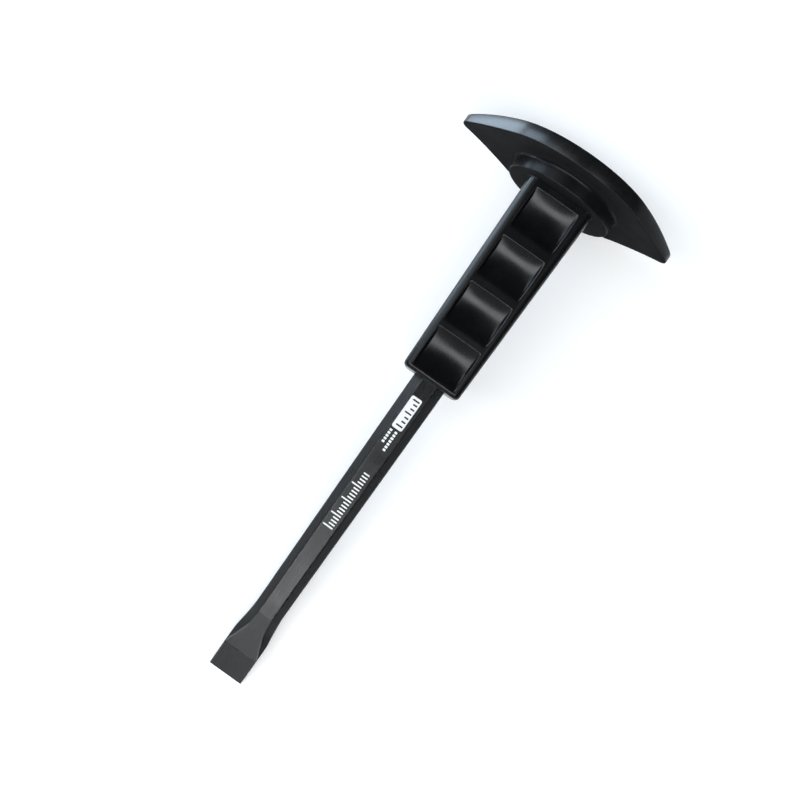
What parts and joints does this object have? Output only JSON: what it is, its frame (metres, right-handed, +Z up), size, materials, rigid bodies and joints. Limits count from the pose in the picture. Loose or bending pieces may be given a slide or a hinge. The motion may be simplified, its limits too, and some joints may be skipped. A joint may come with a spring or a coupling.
{
  "type": "cold chisel",
  "caption": "Flat cold chisel: octagonal forged steel bar with a flared blade, and a push-on moulded finger grip with a domed knuckle shield.",
  "frame": {"origin": "on the surface that the tool lies on, under the middle of its box", "axes": "+X along the tool's length towards the struck head, +Y across the shield's two points, +Z up, out of the finger scallops; the bar's axis rises 8.56 degrees from the blade to the shield"},
  "size_m": [0.2976, 0.118, 0.0901],
  "materials": {
    "steel": "black satin coating over forged steel, ground bright-dark at the edge",
    "grip": "black satin moulding",
    "shield": "black satin moulding"
  },
  "bodies": {
    "chisel": {"chisel_bar": "steel"},
    "hand_guard": {"grip_sleeve": "grip", "guard_shield": "shield"}
  },
  "joints": [
    {"name": "guard_slide", "type": "slide", "parent": "chisel", "child": "hand_guard", "axis": [0.9889, 0, 0.1488], "range_m": [0, 0.134]}
  ]
}
